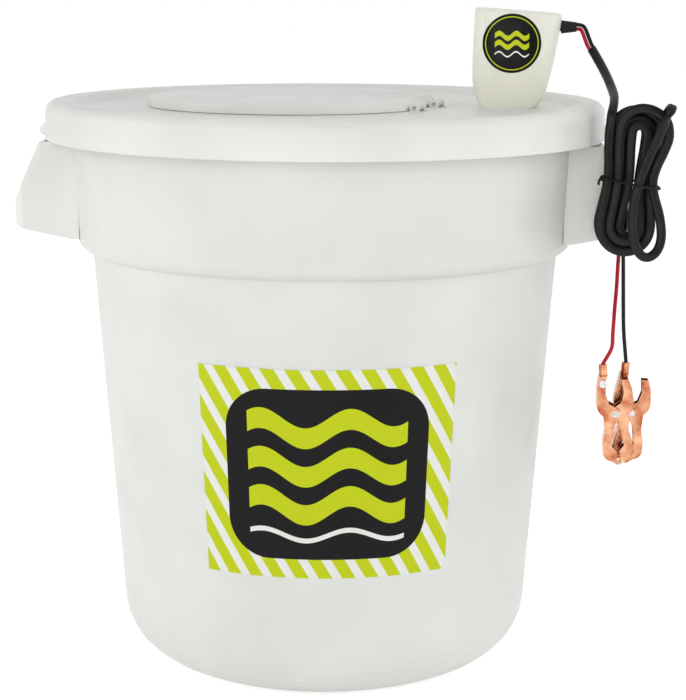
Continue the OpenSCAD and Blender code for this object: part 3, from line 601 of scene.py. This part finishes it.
def printed(name, place_to_uv, paint):
    """A glossy film printed with a pattern over its own flat u and v, in metres."""
    material, shader, place = start(name, IOR=1.5, Specular_IOR_Level=0.15)
    split = put(material, "ShaderNodeSeparateXYZ", {0: place}).outputs
    u, v = place_to_uv(material, split)
    feed(material, shader, Base_Color=paint(material, u, v),
         Roughness=blotches(material, place, 0.012, 0.26, 0.36),
         Normal=relief(material, blotches(material, place, 0.006, 0, 1), 0.00006, 0.3))
    return material


chartreuse, ink, paper = "#C6D31A", "#110F10", "#ECEEE9"
label_turn, label_wall_r, label_height = math.radians(85.3), 0.166, 0.176


def round_the_wall(material, split):
    """Distance round the wall from the label's middle, and height from its middle."""
    angle = math_node(material, "ARCTAN2", split[1], split[0])
    u = math_node(material, "MULTIPLY", math_node(material, "ADD", angle, label_turn), label_wall_r)
    return u, math_node(material, "SUBTRACT", split[2], label_height)


def front_design(material, u, v):
    """Slanting stripes behind a rounded panel with waves."""
    stripe_pitch, stripe_lean, stripe_edge = 0.017, 0.6, -0.25
    half_wide, half_tall, corner, waves_half, wave_pitch = 0.072, 0.062, 0.03, 0.056, 0.062
    slant = math_node(material, "ADD", u, math_node(material, "MULTIPLY", v, stripe_lean))
    stripe = math_node(material, "GREATER_THAN", math_node(
        material, "SINE", math_node(material, "MULTIPLY", slant, 2 * math.pi / stripe_pitch)), stripe_edge)
    du = math_node(material, "MAXIMUM", math_node(
        material, "SUBTRACT", math_node(material, "ABSOLUTE", u), half_wide - corner), 0.0)
    dv = math_node(material, "MAXIMUM", math_node(
        material, "SUBTRACT", math_node(material, "ABSOLUTE", v), half_tall - corner), 0.0)
    panel = math_node(material, "LESS_THAN", math_node(
        material, "SQRT", math_node(material, "ADD", math_node(material, "POWER", du, 2.0),
                                    math_node(material, "POWER", dv, 2.0))), corner)
    print_colour = tint(material, stripe, paper, chartreuse)
    shade = colour(ink)
    for middle, swing, half, code in ((0.034, 0.007, 0.0075, chartreuse), (0.006, 0.007, 0.0075, chartreuse),
                                      (-0.022, 0.007, 0.0075, chartreuse), (-0.044, 0.004, 0.0018, paper)):
        band = wave_band(material, u, v, middle, swing, wave_pitch, half)
        shade = put(material, "ShaderNodeMix", {"Factor": band, 6: shade, 7: colour(code)},
                    data_type="RGBA").outputs[2]
    inner = math_node(material, "LESS_THAN", math_node(material, "ABSOLUTE", u), waves_half)
    shade = put(material, "ShaderNodeMix", {"Factor": inner, 6: colour(ink), 7: shade},
                data_type="RGBA").outputs[2]
    return put(material, "ShaderNodeMix", {"Factor": panel, 6: print_colour, 7: shade},
               data_type="RGBA").outputs[2]


front_film = printed("printed vinyl film, front label", round_the_wall, front_design)
print(front_film.name)

# %% [markdown]
# ## Round sticker
# The pump's sticker is the same vinyl, black with two small waves, a thin wavy line and a thin ring
# inside its edge.

# %% Sticker design
sticker_x, sticker_z = 0.1385, 0.468


def across_the_pump(material, split):
    """Distance across the sticker, and height, from its middle."""
    u = math_node(material, "SUBTRACT", split[0], sticker_x)
    return u, math_node(material, "SUBTRACT", split[2], sticker_z)


def sticker_design(material, u, v):
    """Two waves and a thin wavy line inside a thin ring, on black."""
    waves_half, wave_pitch, swing, ring_r, ring_half = 0.0125, 0.0125, 0.0018, 0.0192, 0.00035
    far = math_node(material, "SQRT", math_node(material, "ADD", math_node(material, "POWER", u, 2.0),
                                                math_node(material, "POWER", v, 2.0)))
    shade = None
    inner = math_node(material, "LESS_THAN", math_node(material, "ABSOLUTE", u), waves_half)
    for middle, half, code in ((0.0055, 0.0019, chartreuse), (-0.001, 0.0019, chartreuse),
                               (-0.0078, 0.0006, paper)):
        wave = wave_band(material, u, v, middle, swing, wave_pitch, half)
        band = math_node(material, "MULTIPLY", inner, wave)
        shade = put(material, "ShaderNodeMix", {"Factor": band, 6: shade or colour(ink), 7: colour(code)},
                    data_type="RGBA").outputs[2]
    ring_away = math_node(material, "ABSOLUTE", math_node(material, "SUBTRACT", far, ring_r))
    thin = math_node(material, "LESS_THAN", ring_away, ring_half)
    return put(material, "ShaderNodeMix", {"Factor": thin, 6: shade, 7: colour(chartreuse)},
               data_type="RGBA").outputs[2]


sticker_film = printed("printed vinyl film, round sticker", across_the_pump, sticker_design)
print(sticker_film.name)

# %% [markdown]
# ## Dressing the CAD pieces
# Each CAD node names the finish slot it belongs to, so its material is found from that slot, and
# only the slot's list changes when a finish does.

# %% Materials on the CAD pieces
finishes = {"natural_plastic": natural, "ivory_plastic": ivory, "dark_plastic": nylon,
            "label_film": front_film, "sticker_film": sticker_film, "steel": steel,
            "black_rubber": rubber, "seal_rubber": seal_rubber, "black_jacket": black_pvc,
            "red_jacket": red_pvc, "copper_plate": copper}
for part in frame["record"]["subparts"]:
    mesh = frame["nodes"][part["node"]].data
    mesh.materials.clear()
    mesh.materials.append(finishes[part["material_slot"]])

# %% [markdown]
# ## The cord's place in the model
# Every new piece rides on the lid, as the pump and the hank do, and stands for the CAD solid of
# the same thing.

# %% Riding on the lid
for piece, finish, slot_name in (
        (flat_cord, black_pvc, "black_jacket"), (tie, tie_rubber, "black_rubber"),
        (knot, tie_rubber, "black_rubber"), (knot_tails[0], tie_rubber, "black_rubber"),
        (knot_tails[1], tie_rubber, "black_rubber"), (red_motor_lead, red_pvc, "red_jacket"),
        (black_motor_lead, black_pvc, "black_jacket"), (red_lead, red_pvc, "red_jacket"),
        (black_lead, black_pvc, "black_jacket")):
    piece.data.materials.append(finish)
    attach(piece, "lid")
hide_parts("cord_drop", "cord_hank")
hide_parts("hank_tie")
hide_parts("motor_lead_red")
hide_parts("motor_lead_black")
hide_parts("battery_lead_red")
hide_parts("battery_lead_black")


# %% [markdown]
# ## Floor, light and background
# The picture is a cut-out on white. A pale floor keeps the bucket's soft shadow, and a white that
# only the camera and reflections see is added to it, so the ground goes white without more light
# on the object. What reflections see of the room fades to a dim grey behind the camera, as in a
# real studio, so black plastic stays black and copper shows light and dark. The wall is as light at
# its sides as in its middle, and the lid's top is darker, so a broad lamp in front is helped by one
# from each side, and only a faint one hangs above.

# %% Stage
paper_glow, ambient = 0.62, 0.46
bpy.ops.object.select_all(action="DESELECT")
bpy.ops.mesh.primitive_plane_add(size=14, location=(0, 2, 0))
floor = bpy.context.object
floor.name = "floor"
floor_finish = bpy.data.materials.new("white paper floor")
floor_finish.use_nodes = True
floor_finish.node_tree.nodes.clear()
rays = put(floor_finish, "ShaderNodeLightPath").outputs
seen = math_node(floor_finish, "MAXIMUM", rays["Is Camera Ray"],
                 math_node(floor_finish, "MAXIMUM", rays["Is Glossy Ray"], rays["Is Transmission Ray"]))
paper_light = put(floor_finish, "ShaderNodeBsdfDiffuse", {"Color": colour("#F2F2F2")})
glow = put(floor_finish, "ShaderNodeEmission", {
    "Strength": math_node(floor_finish, "MULTIPLY", seen, paper_glow)})
both = put(floor_finish, "ShaderNodeAddShader", {0: paper_light.outputs[0], 1: glow.outputs[0]})
put(floor_finish, "ShaderNodeOutputMaterial", {0: both.outputs[0]})
floor.data.materials.append(floor_finish)

world = bpy.data.worlds.new("studio")
bpy.context.scene.world = world
world.use_nodes = True
world.node_tree.nodes.clear()
rays = put(world, "ShaderNodeLightPath").outputs
looking = put(world, "ShaderNodeTexCoord").outputs["Generated"]
depth = put(world, "ShaderNodeSeparateXYZ", {0: looking}).outputs[1]
mirrored = put(world, "ShaderNodeMapRange", {"Value": depth, "From Min": -0.7, "From Max": 0.5,
                                             "To Min": 0.12, "To Max": 1.0}).outputs[0]
to_glossy = math_node(world, "MULTIPLY", rays["Is Glossy Ray"],
                      math_node(world, "SUBTRACT", mirrored, ambient))
to_camera = math_node(world, "MULTIPLY", math_node(
    world, "MAXIMUM", rays["Is Camera Ray"], rays["Is Transmission Ray"]), 1 - ambient)
room = put(world, "ShaderNodeBackground", {"Color": colour("#FFFFFF"), "Strength": math_node(
    world, "ADD", math_node(world, "ADD", to_glossy, to_camera), ambient)})
put(world, "ShaderNodeOutputWorld", {0: room.outputs[0]})


def softbox(name, place, aim, size, power):
    """A square area lamp that faces a point."""
    lamp = bpy.data.lights.new(name, "AREA")
    lamp.size, lamp.energy = size, power
    holder = bpy.data.objects.new(name, lamp)
    bpy.context.scene.collection.objects.link(holder)
    turned = (Vector(aim) - Vector(place)).to_track_quat("-Z", "Y").to_matrix()
    holder.matrix_world = Matrix.Translation(Vector(place)) @ turned.to_4x4()
    return holder


softbox("front softbox", (-0.4, -2.4, 0.6), (0, 0, 0.2), 1.6, 18.5)
softbox("left softbox", (-2.1, -0.4, 0.75), (0, 0, 0.2), 1.5, 12)
softbox("right softbox", (2.0, -0.7, 0.75), (0, 0, 0.2), 2.4, 19)
softbox("top softbox", (0.1, 0.2, 2.4), (0, 0, 0.3), 1.4, 3)
bpy.context.scene.view_settings.view_transform = "Standard"
print("stage and lamps set")
